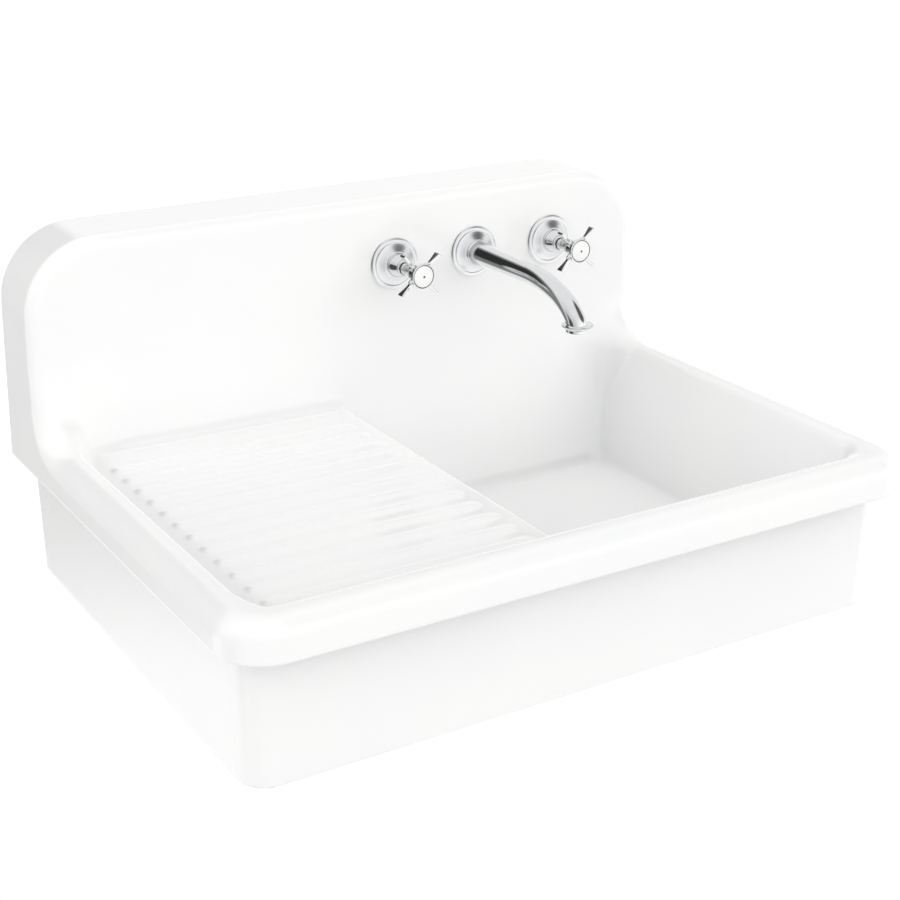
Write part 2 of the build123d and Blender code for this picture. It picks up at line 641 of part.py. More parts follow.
# mixing tee and transfer pipes ------------------------------------------------
PORT_Y = FACE_Y - PORT_T
with BuildPart() as mixing_tee:
    with BuildSketch(Plane(origin=(SPOUT_X - 15, PORT_Y, up(TAP_H)), x_dir=(0, 1, 0), z_dir=(1, 0, 0))):
        Circle(9.5)
    extrude(amount=30.0)
    with BuildSketch(Plane(origin=(SPOUT_X - 24, PORT_Y, up(TAP_H)), x_dir=(0, 1, 0), z_dir=(1, 0, 0))):
        Circle(STUB_R)
    extrude(amount=48.0)
    with BuildSketch(facing(SPOUT_X, PORT_T)):
        Circle(12.6)
    extrude(amount=12.0)
    with BuildSketch(facing(SPOUT_X, -24.0)):
        Circle(10.45)
    extrude(amount=7.0, mode=Mode.SUBTRACT)
    with BuildSketch(facing(SPOUT_X, PORT_T)):
        Circle(6.5)
    extrude(amount=8.0, mode=Mode.SUBTRACT)
    with BuildSketch(Plane(origin=(SPOUT_X - 25, PORT_Y, up(TAP_H)), x_dir=(0, 1, 0), z_dir=(1, 0, 0))):
        Circle(5.0)
    extrude(amount=50.0, mode=Mode.SUBTRACT)
    for s in (-1, 1):
        with BuildSketch(Plane(origin=(SPOUT_X + s * 15.5, PORT_Y, up(TAP_H)), x_dir=(0, 1, 0),
                               z_dir=(s, 0, 0))):
            Circle(PIPE_R + 0.05)
        extrude(amount=10.0, mode=Mode.SUBTRACT)
write(mixing_tee, "mixing_tee")

PIPE_SPAN = TAP_SPREAD - 21.5 - 15.5
for side, x, inward in (("hot", HOT_X, 1), ("cold", COLD_X, -1)):
    with BuildPart() as transfer_pipe:
        with BuildSketch(Plane(origin=(x + inward * 21.5, PORT_Y, up(TAP_H)), x_dir=(0, 1, 0),
                               z_dir=(inward, 0, 0))):
            Circle(PIPE_R)
            Circle(PIPE_R - 1.0, mode=Mode.SUBTRACT)
        extrude(amount=PIPE_SPAN)
    write(transfer_pipe, side + "_transfer_pipe")

# mouth of each stub, and the way its pipe leaves it
STUB_MOUTHS = [
    (HOT_X + 30.0, 1), (SPOUT_X - 24.0, -1), (SPOUT_X + 24.0, 1), (COLD_X - 30.0, -1),
]
with BuildPart() as compression_nuts:
    for mouth, way in STUB_MOUTHS:
        with BuildSketch(Plane(origin=(mouth - way * 7.0, PORT_Y, up(TAP_H)), x_dir=(0, 1, 0),
                               z_dir=(way, 0, 0))):
            RegularPolygon(11.0, 6, major_radius=False)
        extrude(amount=14.0)
        with BuildSketch(Plane(origin=(mouth - way * 8.0, PORT_Y, up(TAP_H)), x_dir=(0, 1, 0),
                               z_dir=(way, 0, 0))):
            Circle(STUB_R + 0.05)
        extrude(amount=10.6, mode=Mode.SUBTRACT)
        with BuildSketch(Plane(origin=(mouth, PORT_Y, up(TAP_H)), x_dir=(0, 1, 0),
                               z_dir=(way, 0, 0))):
            Circle(PIPE_R + 0.1)
        extrude(amount=8.0, mode=Mode.SUBTRACT)
write(compression_nuts, "compression_nuts")

with BuildPart() as olives:
    for mouth, way in STUB_MOUTHS:
        with BuildSketch(Plane(origin=(mouth, PORT_Y, up(TAP_H)), x_dir=(0, 1, 0),
                               z_dir=(way, 0, 0))):
            Circle(7.7)
            Circle(PIPE_R + 0.02, mode=Mode.SUBTRACT)
        extrude(amount=2.6)
write(olives, "olives")


# ---------------------------------------------------------------------------
# Basket strainer waste, turned about the vertical drain axis
# ---------------------------------------------------------------------------
def drain_plane():
    # local x: radius from the drain axis, local y: height above the apron foot
    return Plane(origin=(DRAIN_X, DRAIN_Y, up(0)), x_dir=(1, 0, 0), z_dir=(0, -1, 0))


DRAIN_AXIS = Axis((DRAIN_X, DRAIN_Y, up(0)), (0, 0, 1))


def drain_level(h):
    return Plane(origin=(DRAIN_X, DRAIN_Y, up(h)), x_dir=(1, 0, 0), z_dir=(0, 0, 1))


with BuildPart() as strainer_body:
    with BuildSketch(drain_plane()):
        with BuildLine():
            Polyline(
                (57.0, 29.5), (57.0, 30.8), (55.8, 31.6), (47.0, 31.2), (43.2, 30.2),
                (41.2, 27.6), (40.8, 24.0), (39.2, 0.0), (37.2, -7.0), (34.5, -9.8),
                (21.0, -10.3), (21.0, -33.0), (23.5, -33.0), (23.5, -13.0), (36.0, -12.6),
                (39.6, -9.0), (41.6, -1.5), (43.5, 3.5), (43.5, 26.5), (44.5, 28.0),
                (44.5, 29.5), close=True,
            )
        make_face()
    revolve(axis=DRAIN_AXIS)
write(strainer_body, "strainer_body")

with BuildPart() as strainer_gasket:
    with BuildSketch(drain_level(21.0)):
        Circle(56.0)
        Circle(43.7, mode=Mode.SUBTRACT)
    extrude(amount=3.0)
write(strainer_gasket, "strainer_gasket")

with BuildPart() as friction_ring:
    with BuildSketch(drain_level(20.2)):
        Circle(55.5)
        Circle(43.7, mode=Mode.SUBTRACT)
    extrude(amount=0.8)
write(friction_ring, "friction_ring")

with BuildPart() as strainer_locknut:
    with BuildSketch(drain_level(17.2)):
        Circle(55.0)
        Circle(43.55, mode=Mode.SUBTRACT)
    extrude(amount=3.0)
    with BuildSketch(drain_level(8.2)):
        Circle(50.0)
        Circle(43.55, mode=Mode.SUBTRACT)
        with PolarLocations(51.5, 8):
            Rectangle(8.0, 7.0)
    extrude(amount=9.0)
write(strainer_locknut, "strainer_locknut")

with BuildPart() as tail_washer:
    with BuildSketch(drain_level(-35.5)):
        Circle(23.3)
        Circle(17.8, mode=Mode.SUBTRACT)
    extrude(amount=2.5)
write(tail_washer, "tailpiece_washer")

with BuildPart() as tailpiece:
    with BuildSketch(drain_plane()):
        with BuildLine():
            Polyline((17.8, -35.5), (22.8, -35.5), (22.8, -37.3), (18.95, -37.3),
                     (18.95, -43.5), (20.4, -44.5), (20.4, -46.5), (19.05, -47.5),
                     (19.05, -95.0), (17.8, -95.0), close=True)
        make_face()
    revolve(axis=DRAIN_AXIS)
write(tailpiece, "tailpiece")

with BuildPart() as coupling_nut:
    with BuildSketch(drain_level(-41.3)):
        RegularPolygon(28.5, 8, major_radius=False)
        Circle(19.3, mode=Mode.SUBTRACT)
    extrude(amount=4.0)
    with BuildSketch(drain_level(-37.3)):
        RegularPolygon(28.5, 8, major_radius=False)
        Circle(23.55, mode=Mode.SUBTRACT)
    extrude(amount=16.0)
write(coupling_nut, "coupling_nut")

with BuildPart() as strainer_basket:
    with BuildSketch(drain_plane()):
        with BuildLine():
            Polyline(
                (4.05, -1.0), (33.6, -1.0), (34.8, 0.2), (37.0, 24.6), (39.6, 25.6),
                (39.6, 26.8), (36.0, 26.2), (33.5, 1.2), (32.8, 0.4), (4.05, 0.4), close=True,
            )
        make_face()
    revolve(axis=DRAIN_AXIS)
    with BuildSketch(drain_level(-2.0)):
        with PolarLocations(10.5, 8):
            Circle(1.9)
        with PolarLocations(17.0, 14):
            Circle(1.9)
        with PolarLocations(23.5, 20):
            Circle(1.9)
        with PolarLocations(29.5, 26):
            Circle(1.9)
    extrude(amount=4.0, mode=Mode.SUBTRACT)
    for k in range(20):
        angle = math.radians(18.0 * k)
        with BuildSketch(Plane(
            origin=(DRAIN_X + 30.0 * math.cos(angle), DRAIN_Y + 30.0 * math.sin(angle), up(12.5)),
            x_dir=(0, 0, 1), z_dir=(math.cos(angle), math.sin(angle), 0),
        )):
            SlotOverall(14.0, 3.4)
        extrude(amount=9.0, mode=Mode.SUBTRACT)
write(strainer_basket, "strainer_basket")

with BuildPart() as basket_post:
    with BuildSketch(drain_plane()):
        with BuildLine():
            Polyline(
                (0, -12.3), (6.0, -12.3), (7.0, -11.5), (7.0, -9.9), (4.0, -9.9),
                (4.0, -7.3), (18.0, -7.3), (18.0, -6.0), (6.0, -5.0), (6.0, -1.0), (4.0, -1.0),
                (4.0, 0.4), (7.0, 0.4), (7.0, 1.6), (4.4, 3.4), (3.2, 7.0), (3.2, 18.0),
                (4.8, 21.6), (8.2, 24.2), (9.2, 26.6), (8.4, 29.2), (5.6, 30.8), (0, 31.3),
                close=True,
            )
        make_face()
    revolve(axis=DRAIN_AXIS)
write(basket_post, "basket_post")

with BuildPart() as basket_seal:
    with BuildSketch(drain_plane()):
        with BuildLine():
            Polyline((4.0, -9.9), (26.0, -9.9), (27.5, -9.0), (26.0, -7.3), (4.0, -7.3),
                     close=True)
        make_face()
    revolve(axis=DRAIN_AXIS)
write(basket_seal, "basket_seal")

# ---------------------------------------------------------------------------
# Wall hanger: a channel on the wall that carries the casting's hanging flange
# ---------------------------------------------------------------------------
with BuildPart() as wall_hanger:
    with BuildSketch(Plane.YZ.offset(-260.0)):
        with BuildLine():
            Polyline(
                (0, up(298)), (0, up(362)), (-3, up(362)), (-3, up(347)), (-15, up(347)),
                (-15, up(358)), (-18, up(358)), (-18, up(344)), (-3, up(344)), (-3, up(298)),
                close=True,
            )
        make_face()
    extrude(amount=520.0)
    with BuildSketch(Plane.XZ.offset(-1.0)):
        with GridLocations(HANGER_SPAN_X, HANGER_SPAN_Z, 2, 2):
            Circle(HANGER_HOLE_R)
    extrude(amount=6.0, mode=Mode.SUBTRACT)
write(wall_hanger, "wall_hanger")
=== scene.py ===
import json
import math

import bmesh
import bpy
import numpy as np
from mathutils import Matrix, Vector


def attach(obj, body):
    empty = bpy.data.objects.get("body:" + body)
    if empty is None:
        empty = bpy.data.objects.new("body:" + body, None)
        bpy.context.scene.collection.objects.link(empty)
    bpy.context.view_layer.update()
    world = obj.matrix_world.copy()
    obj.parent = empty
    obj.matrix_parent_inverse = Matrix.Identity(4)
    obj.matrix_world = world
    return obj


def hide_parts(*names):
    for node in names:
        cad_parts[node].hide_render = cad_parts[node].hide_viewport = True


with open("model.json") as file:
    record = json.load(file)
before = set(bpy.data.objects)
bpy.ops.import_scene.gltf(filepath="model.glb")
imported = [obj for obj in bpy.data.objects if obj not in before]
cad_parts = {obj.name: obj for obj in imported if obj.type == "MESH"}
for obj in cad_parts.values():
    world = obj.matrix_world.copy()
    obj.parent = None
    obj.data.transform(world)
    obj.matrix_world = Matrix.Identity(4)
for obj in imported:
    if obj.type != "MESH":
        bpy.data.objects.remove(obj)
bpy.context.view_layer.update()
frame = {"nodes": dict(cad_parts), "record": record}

# ---------------------------------------------------------------------------
# Dimensions in millimetres. Heights h are measured from the foot of the apron;
# the row origin lies 321 above it, on the wall.
# ---------------------------------------------------------------------------
HANGER_H = 321.0
FACE_Y = -84.0
TAP_H = 307.0
SPOUT_X = 146.5
HOT_X = SPOUT_X - 101.6
COLD_X = SPOUT_X + 101.6
DRAIN = (155.0, -335.0)
RIB_FIRST_Y, RIB_PITCH, RIB_COUNT = -155.5, 30.85, 12


def to_m(points):
    p = np.asarray(points, dtype=np.float64).reshape(-1, 3).copy()
    p[:, 2] -= HANGER_H
    return p / 1000.0


# ---------------------------------------------------------------------------
# Signed distance field of the casting: negative inside the iron
# ---------------------------------------------------------------------------
def join(a, b, r):
    """Union with a concave fillet of radius r."""
    return np.maximum(r, np.minimum(a, b)) - np.hypot(np.maximum(r - a, 0), np.maximum(r - b, 0))


def common(a, b, r):
    """Intersection with a convex round of radius r."""
    return np.minimum(-r, np.maximum(a, b)) + np.hypot(np.maximum(r + a, 0), np.maximum(r + b, 0))


def ramp(lo, hi, t):
    t = np.clip((t - lo) / (hi - lo), 0, 1)
    return t * t * (3 - 2 * t)


def round_corner(a, b, r):
    """Intersection of two half planes with a round corner, as a distance."""
    qa, qb = a + r, b + r
    return np.minimum(np.maximum(qa, qb), 0) + np.hypot(np.maximum(qa, 0), np.maximum(qb, 0)) - r


def visible_surface(x, y, h):
    """Field of everything under the enamelled upper surface."""
    k = (h - 32.0) / 133.0
    kc = np.clip(k, -0.3, 1.0)
    # walls of the recess and basin: sides and front
    right = x - (306.0 + 29.0 * kc)
    left = -335.0 - x
    side = np.maximum(right, left)
    front = (-492.0 - 20.0 * kc) - y
    plan_r = 26.0
    wall = -round_corner(side, front, plan_r)
    to_front = ramp(-20.0, 30.0, front - side)
    roll = 9.0 + 18.0 * to_front + 7.0 * (1.0 - to_front) * ramp(50.0, 250.0, x)
    rim = common(wall, h - 179.0, roll)
    # backsplash face and the basin's back wall under it
    face = FACE_Y - y
    slope = ((-112.0 + 28.0 * np.clip(k, -0.3, 3.0)) - y) * 0.978
    w = np.clip(0.5 + 0.5 * (face - slope) / 7.0, 0, 1)
    slab = face * (1 - w) + slope * w - 7.0 * w * (1 - w)
    # drainboard with its ribs, ending at the basin
    edge = (x - (-2.0 - 26.0 * np.clip(k, -0.3, 1.3))) * 0.981
    board_h = 163.5 - 4.5 * (x + 335.0) / 307.0
    half = 128.5
    mid = -181.5
    row = np.clip(np.round((RIB_FIRST_Y - y) / RIB_PITCH), 0, RIB_COUNT - 1)
    across = y - (RIB_FIRST_Y - row * RIB_PITCH)
    along = np.maximum(np.abs(x - mid) - half, 0)
    along = along * (1.35 - 0.35 * np.sign(x - mid))
    d = np.clip(np.hypot(along, across) / 11.6, 0, 1)
    crest = 0.5 + 0.5 * np.cos(math.pi * d)
    # a shallow channel runs along the back and the left end of the board
    to_edge = np.minimum(-84.0 - y, x + 335.0)
    board_h = board_h - 2.8 * (1.0 - ramp(9.0, 30.0, to_edge))
    board = common(edge, h - board_h - 1.7 * crest, 5.5)
    # unions, each with its own fillet
    rim_back = join(rim, slab, 14.0 + 41.0 * ramp(95.0, 182.0, h))
    board_back = join(board, slab, 14.0)
    near = 1.0 - ramp(-312.0, -262.0, x) * ramp(-300.0, -210.0, y)
    on_board = ramp(110.0, 158.0, h)
    board_r = 6.5 + 9.0 * ramp(-175.0, -105.0, y) + 7.0 * to_front
    r = (28.0 * (1.0 - on_board) + board_r * on_board) * near * (1.0 - ramp(212.0, 262.0, h))
    upper = join(rim_back, board_back, np.maximum(r, 0.01))
    floor = h - 32.0 - 1.6 * ramp(75.0, 200.0, np.hypot(x - DRAIN[0], y - DRAIN[1]))
    return join(upper, floor, 13.0)


def outline(x, y, h):
    side = (np.abs(x) - 368.4 + 0.02619 * (h - 139.0)) * 0.99966
    front = -559.0 - y + 0.012 * (h - 139.0)
    plan = round_corner(side, front, 47.0)
    top = round_corner(side, h - 381.0, 75.0)
    return np.maximum(plan, top)


def outer_roll(x, y, h):
    """Radius of the outer roll: broad at the sides of the rim, less at its front."""
    side = np.abs(x) - 368.4
    front = -559.0 - y
    rim = 23.0 - 5.0 * ramp(-30.0, 30.0, front - side)
    return rim + (14.0 - rim) * ramp(188.0, 240.0, h)


def apron_plan(x, y, h):
    lean = 0.01571
    right = x - 353.0 - lean * h
    left = -x - 342.6 - lean * h
    front = -y - 517.0 - lean * h
    return np.where(x > 0, round_corner(right, front, 16.0), round_corner(left, front, 28.0))


def casting(x, y, h):
    seen = visible_surface(x, y, h)
    out = outline(x, y, h)
    outer = common(seen, out, outer_roll(x, y, h))
    shell = np.abs(outer + 4.0) - 4.0
    # the rim's skirt ends in a rounded lip; the basin goes on below it
    below_lip = np.minimum(139.0 - h, out + 15.0)
    shell = common(shell, below_lip, 3.7)
    # apron, open at the back
    plan = apron_plan(x, y, h)
    skirt = np.abs(plan + 4.0) - 4.0
    skirt = common(skirt, -h, 2.4)
    foot = round_corner(x - 353.0 - 0.01571 * h, -h, 7.0)
    skirt = np.where(x > 300.0, np.maximum(skirt, foot), skirt)
    skirt = np.maximum(skirt, outer + 5.0)
    skirt = np.maximum(skirt, h - 168.0)
    body = join(shell, skirt, 4.5)
    # flange that hangs on the wall hanger
    flange = np.maximum(np.maximum(np.abs(x) - 250.0, np.abs(y + 9.0) - 4.0), np.abs(h - 362.0) - 15.0)
    body = join(body, flange, 3.0)
    # holes for the taps, spout and waste
    for hx in (HOT_X, SPOUT_X, COLD_X):
        hole = np.maximum(np.hypot(x - hx, h - TAP_H) - 17.0, np.abs(y + 80.0) - 14.0)
        body = common(body, -hole, 0.8)
    rad = np.hypot(x - DRAIN[0], y - DRAIN[1])
    body = common(body, -np.maximum(rad - 58.0, np.maximum(29.5 - h, h - 50.0)), 0.8)
    body = common(body, -np.maximum(rad - 45.0, np.abs(h - 26.0) - 20.0), 0.8)
    return common(body, y, 1.4)


def steps(*spans):
    """Grid lines from (start, end, step) spans that share their ends."""
    out = [spans[0][0]]
    for lo, hi, s in spans:
        n = max(1, int(round((hi - lo) / s)))
        out += [lo + (hi - lo) * (i + 1) / n for i in range(n)]
    return np.array(out)


def surface_net(field, gx, gy, gz):
    """Vertices on the zero surface of the field and quads between them."""
    f = field(gx[:, None, None], gy[None, :, None], gz[None, None, :])
    f = np.broadcast_to(f, (len(gx), len(gy), len(gz)))
    inside = f < 0
    count = np.zeros((len(gx) - 1, len(gy) - 1, len(gz) - 1), np.int8)
    for dx in (0, 1):
        for dy in (0, 1):
            for dz in (0, 1):
                count += inside[dx:len(gx) - 1 + dx, dy:len(gy) - 1 + dy, dz:len(gz) - 1 + dz]
    cells = np.argwhere((count > 0) & (count < 8))
    index = np.full(count.shape, -1, np.int64)
    index[tuple(cells.T)] = np.arange(len(cells))
    corners = [(dx, dy, dz) for dx in (0, 1) for dy in (0, 1) for dz in (0, 1)]
    val = {c: f[cells[:, 0] + c[0], cells[:, 1] + c[1], cells[:, 2] + c[2]] for c in corners}
    pos = {c: np.stack([gx[cells[:, 0] + c[0]], gy[cells[:, 1] + c[1]], gz[cells[:, 2] + c[2]]], 1) for c in corners}
    total = np.zeros((len(cells), 3))
    hits = np.zeros(len(cells))
    for i, a in enumerate(corners):
        for b in corners[i + 1:]:
            if sum(abs(p - q) for p, q in zip(a, b)) != 1:
                continue
            va, vb = val[a], val[b]
            cross = (va < 0) != (vb < 0)
            t = np.where(cross, va / np.where(cross, va - vb, 1), 0)
            total += np.where(cross[:, None], pos[a] + (pos[b] - pos[a]) * t[:, None], 0)
            hits += cross
    verts = total / hits[:, None]
    quads = []
    for axis in range(3):
        u, v = [(1, 2), (2, 0), (0, 1)][axis]
        lo = [slice(None)] * 3
        hi = [slice(None)] * 3
        lo[axis], hi[axis] = slice(0, -1), slice(1, None)
        change = inside[tuple(lo)] != inside[tuple(hi)]
        at = np.argwhere(change)
        ok = (at[:, u] > 0) & (at[:, v] > 0) & (at[:, u] < f.shape[u] - 1) & (at[:, v] < f.shape[v] - 1)
        at = at[ok]
        starts_in = inside[tuple(at.T)]

        def cell(du, dv):
            c = at.copy()
            c[:, u] += du
            c[:, v] += dv
            return index[tuple(c.T)]

        q = np.stack([cell(-1, -1), cell(0, -1), cell(0, 0), cell(-1, 0)], 1)
        q[~starts_in] = q[~starts_in][:, ::-1]
        quads.append(q)
    quads = np.concatenate(quads)
    return verts, quads[(quads >= 0).all(1)]


def gradient(field, p, e=0.04):
    g = np.empty_like(p)
    for i in range(3):
        d = np.zeros(3)
        d[i] = e
        a, b = p + d, p - d
        g[:, i] = (field(*a.T) - field(*b.T)) / (2 * e)
    return g


def settle(field, p, rounds=5, reach=1.5):
    """Moves points onto the zero surface of the field."""
    for _ in range(rounds):
        v = field(*p.T)
        g = gradient(field, p)
        n2 = np.maximum((g ** 2).sum(1), 0.05)
        s = v / n2
        step = g * s[:, None]
        length = np.sqrt((step ** 2).sum(1))
        step *= np.minimum(1, reach / np.maximum(length, 1e-9))[:, None]
        p = p - step
    g = gradient(field, p)
    n = g / np.maximum(np.sqrt((g ** 2).sum(1)), 1e-6)[:, None]
    return p, n


def mesh_object(name, verts, faces, smooth=True):
    mesh = bpy.data.meshes.new(name)
    mesh.from_pydata([tuple(v) for v in verts], [], [tuple(int(i) for i in f) for f in faces])
    mesh.validate()
    if smooth:
        mesh.polygons.foreach_set("use_smooth", [True] * len(mesh.polygons))
    mesh.update()
    ob = bpy.data.objects.new(name, mesh)
    bpy.context.scene.collection.objects.link(ob)
    return ob


def build_casting():
    gx = steps((-373, -328, 2.6), (-328, -48, 4.6), (-48, -16, 1.7), (-16, 92, 4.6), (92, 218, 2.1), (218, 290, 4.5), (290, 373, 2.8))
    gy = steps((-563, -500, 2.6), (-500, -140, 2.2), (-140, -92, 3.0), (-92, -70, 2.2), (-70, -5, 3.6), (-5, 3, 1.0))
    gz = steps((-4, 18, 3.6), (18, 40, 1.7), (40, 134, 4.4), (134, 190, 1.9), (190, 360, 4.2), (360, 385, 2.4))
    verts, quads = surface_net(casting, gx, gy, gz)
    verts, normals = settle(casting, verts)
    print("casting", len(verts), "vertices", len(quads), "faces")
    ob = mesh_object("sink_shell", to_m(verts), quads)
    # hidden faces of the iron carry only the grey ground coat
    mid = verts[quads].mean(1)
    depth = common(visible_surface(*mid.T), outline(*mid.T), outer_roll(*mid.T))
    hidden = (depth < -4.2) & (mid[:, 2] > -5)
    outside_apron = (apron_plan(*mid.T) > -3.6) & (mid[:, 2] < 141)
    hidden &= ~outside_apron
    # the edge that meets the wall is bare all round
    hidden |= (mid[:, 1] > -1.6) & (np.abs(normals[quads].mean(1)[:, 1]) > 0.4)
    if len(ob.data.polygons) == len(quads):
        ob.data.polygons.foreach_set("material_index", hidden.astype(np.int32))
        ob.data.normals_split_custom_set_from_vertices([tuple(n) for n in normals])
    return ob


# ---------------------------------------------------------------------------
# Materials
# ---------------------------------------------------------------------------
class Nodes:
    def __init__(self, name):
        self.mat = bpy.data.materials.new(name)
        self.mat.use_nodes = True
        self.tree = self.mat.node_tree
        self.bsdf = self.tree.nodes["Principled BSDF"]
        self.coord = self.add("ShaderNodeTexCoord")

    def add(self, kind, **inputs):
        node = self.tree.nodes.new(kind)
        for key, value in inputs.items():
            if hasattr(node, key):
                setattr(node, key, value)
            else:
                node.inputs[key.replace("_", " ")].default_value = value
        return node

    def link(self, a, b):
        self.tree.links.new(a, b)

    def noise(self, scale, detail=3.0, rough=0.5, vec=None):
        n = self.add("ShaderNodeTexNoise")
        n.inputs["Scale"].default_value = scale
        n.inputs["Detail"].default_value = detail
        n.inputs["Roughness"].default_value = rough
        self.link(vec if vec is not None else self.coord.outputs["Object"], n.inputs["Vector"])
        return n

    def range(self, socket, lo, hi, out_lo, out_hi):
        n = self.add("ShaderNodeMapRange")
        n.inputs["From Min"].default_value = lo
        n.inputs["From Max"].default_value = hi
        n.inputs["To Min"].default_value = out_lo
        n.inputs["To Max"].default_value = out_hi
        self.link(socket, n.inputs["Value"])
        return n.outputs["Result"]

    def mix(self, fac, a, b):
        n = self.add("ShaderNodeMix")
        n.data_type = "RGBA"
        if hasattr(fac, "is_output"):
            self.link(fac, n.inputs["Factor"])
        else:
            n.inputs["Factor"].default_value = fac
        for sock, val in (("A", a), ("B", b)):
            target = [i for i in n.inputs if i.name == sock and i.type == "RGBA"][0]
            if hasattr(val, "is_output"):
                self.link(val, target)
            else:
                target.default_value = (*val, 1) if len(val) == 3 else val
        return [o for o in n.outputs if o.type == "RGBA"][0]

    def bump(self, socket, strength, distance, normal=None):
        n = self.add("ShaderNodeBump")
        n.inputs["Strength"].default_value = strength
        n.inputs["Distance"].default_value = distance
        self.link(socket, n.inputs["Height"])
        if normal is not None:
            self.link(normal, n.inputs["Normal"])
        return n.outputs["Normal"]

    def set(self, **values):
        for key, value in values.items():
            sock = self.bsdf.inputs[key.replace("_", " ")]
            if hasattr(value, "is_output"):
                self.link(value, sock)
            else:
                sock.default_value = value
        return self.mat


def enamel():
    m = Nodes("white_enamel")
    # the glaze is thick and even, with slight flow and a faint warm cast in places
    broad = m.noise(6.0, 2.0)
    tint = m.mix(m.range(broad.outputs["Fac"], 0.35, 0.65, 0, 1), (0.875, 0.878, 0.878), (0.895, 0.893, 0.886))
    rough = m.range(m.noise(35.0, 4.0).outputs["Fac"], 0.3, 0.7, 0.07, 0.12)
    flow = m.noise(18.0, 2.0)
    peel = m.noise(260.0, 2.0)
    n1 = m.bump(flow.outputs["Fac"], 0.12, 0.0016)
    n2 = m.bump(peel.outputs["Fac"], 0.03, 0.0003, n1)
    return m.set(Base_Color=tint, Roughness=rough, Normal=n2, IOR=1.5, Coat_Weight=0.15, Coat_Roughness=0.05)


def ground_coat():
    m = Nodes("grey_ground_coat")
    grain = m.noise(120.0, 5.0, 0.6)
    spots = m.noise(600.0, 3.0)
    base = m.mix(m.range(grain.outputs["Fac"], 0.35, 0.65, 0, 1), (0.20, 0.21, 0.22), (0.29, 0.30, 0.31))
    base = m.mix(m.range(spots.outputs["Fac"], 0.62, 0.70, 0, 0.5), base, (0.42, 0.43, 0.44))
    n1 = m.bump(grain.outputs["Fac"], 0.5, 0.0012)
    n2 = m.bump(spots.outputs["Fac"], 0.4, 0.0004, n1)
    return m.set(Base_Color=base, Roughness=m.range(grain.outputs["Fac"], 0.3, 0.7, 0.42, 0.62), Normal=n2)


def metal(name, light, dark, rough_lo, rough_hi, streak=None, scale=90.0, bump=0.04):
    m = Nodes(name)
    vec = None
    if streak is not None:
        mp = m.add("ShaderNodeMapping")
        mp.inputs["Scale"].default_value = streak
        m.link(m.coord.outputs["Object"], mp.inputs["Vector"])
        vec = mp.outputs["Vector"]
    grain = m.noise(scale, 4.0, 0.6, vec)
    fine = m.noise(scale * 9, 3.0, 0.5, vec)
    base = m.mix(m.range(grain.outputs["Fac"], 0.3, 0.7, 0, 1), dark, light)
    n = m.bump(fine.outputs["Fac"], bump, 0.0002)
    return m.set(Base_Color=base, Metallic=1.0, Roughness=m.range(grain.outputs["Fac"], 0.3, 0.7, rough_lo, rough_hi), Normal=n)


def dull(name, light, dark, rough_lo, rough_hi, scale=300.0, bump=0.15, **extra):
    m = Nodes(name)
    grain = m.noise(scale, 4.0, 0.6)
    base = m.mix(m.range(grain.outputs["Fac"], 0.3, 0.7, 0, 1), dark, light)
    n = m.bump(grain.outputs["Fac"], bump, 0.0003)
    return m.set(Base_Color=base, Roughness=m.range(grain.outputs["Fac"], 0.3, 0.7, rough_lo, rough_hi), Normal=n, **extra)


MATERIALS = {
    "enamel": enamel(),
    "chrome": metal("polished_chrome", (0.665, 0.67, 0.675), (0.615, 0.62, 0.628), 0.07, 0.12, None, 60.0, 0.015),
    "steel": metal("brushed_steel", (0.68, 0.68, 0.67), (0.56, 0.56, 0.55), 0.22, 0.34, (1, 1, 14), 160.0, 0.08),
    "brass": metal("machined_brass", (0.78, 0.62, 0.33), (0.62, 0.46, 0.22), 0.22, 0.38, (1, 1, 1), 200.0, 0.08),
    "copper": metal("drawn_copper", (0.78, 0.44, 0.30), (0.60, 0.30, 0.19), 0.20, 0.36, (1, 6, 6), 60.0, 0.06),
    "zinc": metal("zinc_plate", (0.62, 0.63, 0.64), (0.44, 0.45, 0.47), 0.30, 0.48, (1, 1, 1), 70.0, 0.10),
    "rubber": dull("black_rubber", (0.045, 0.045, 0.045), (0.025, 0.025, 0.025), 0.6, 0.8),
    "ceramic_disc": dull("lapped_ceramic", (0.92, 0.91, 0.87), (0.86, 0.85, 0.81), 0.2, 0.3, 500.0, 0.05),
    "index_ceramic": dull("index_glaze", (0.90, 0.90, 0.89), (0.86, 0.86, 0.85), 0.10, 0.16, 120.0, 0.02, Coat_Weight=0.5),
    "nylon": dull("pale_nylon", (0.82, 0.82, 0.80), (0.74, 0.74, 0.72), 0.4, 0.5),
    "card": dull("fibre_card", (0.48, 0.35, 0.23), (0.34, 0.24, 0.15), 0.8, 0.95, 700.0, 0.4),
}
GROUND = ground_coat()
# softer polish on the wide flanges, and on the cartridges a brass darkened with painted shade, standing in for the dark
# gap under the bells
SATIN = metal("soft_chrome", (0.675, 0.68, 0.685), (0.62, 0.625, 0.633), 0.27, 0.34, None, 60.0, 0.015)
PAINT = dull("dark_index_paint", (0.10, 0.10, 0.105), (0.06, 0.06, 0.065), 0.35, 0.5, 400.0, 0.05)
GAP_SHADE_BRASS = metal("brass_with_painted_shade", (0.20, 0.16, 0.10), (0.11, 0.09, 0.06), 0.35, 0.5, None, 200.0, 0.08)

# the cartridges take the brass darkened with painted shade
for part in frame["record"]["subparts"]:
    mesh = frame["nodes"][part["node"]].data
    mesh.materials.clear()
    mesh.materials.append(GAP_SHADE_BRASS if part["node"].endswith("_cartridge") else MATERIALS[part["material_slot"]])

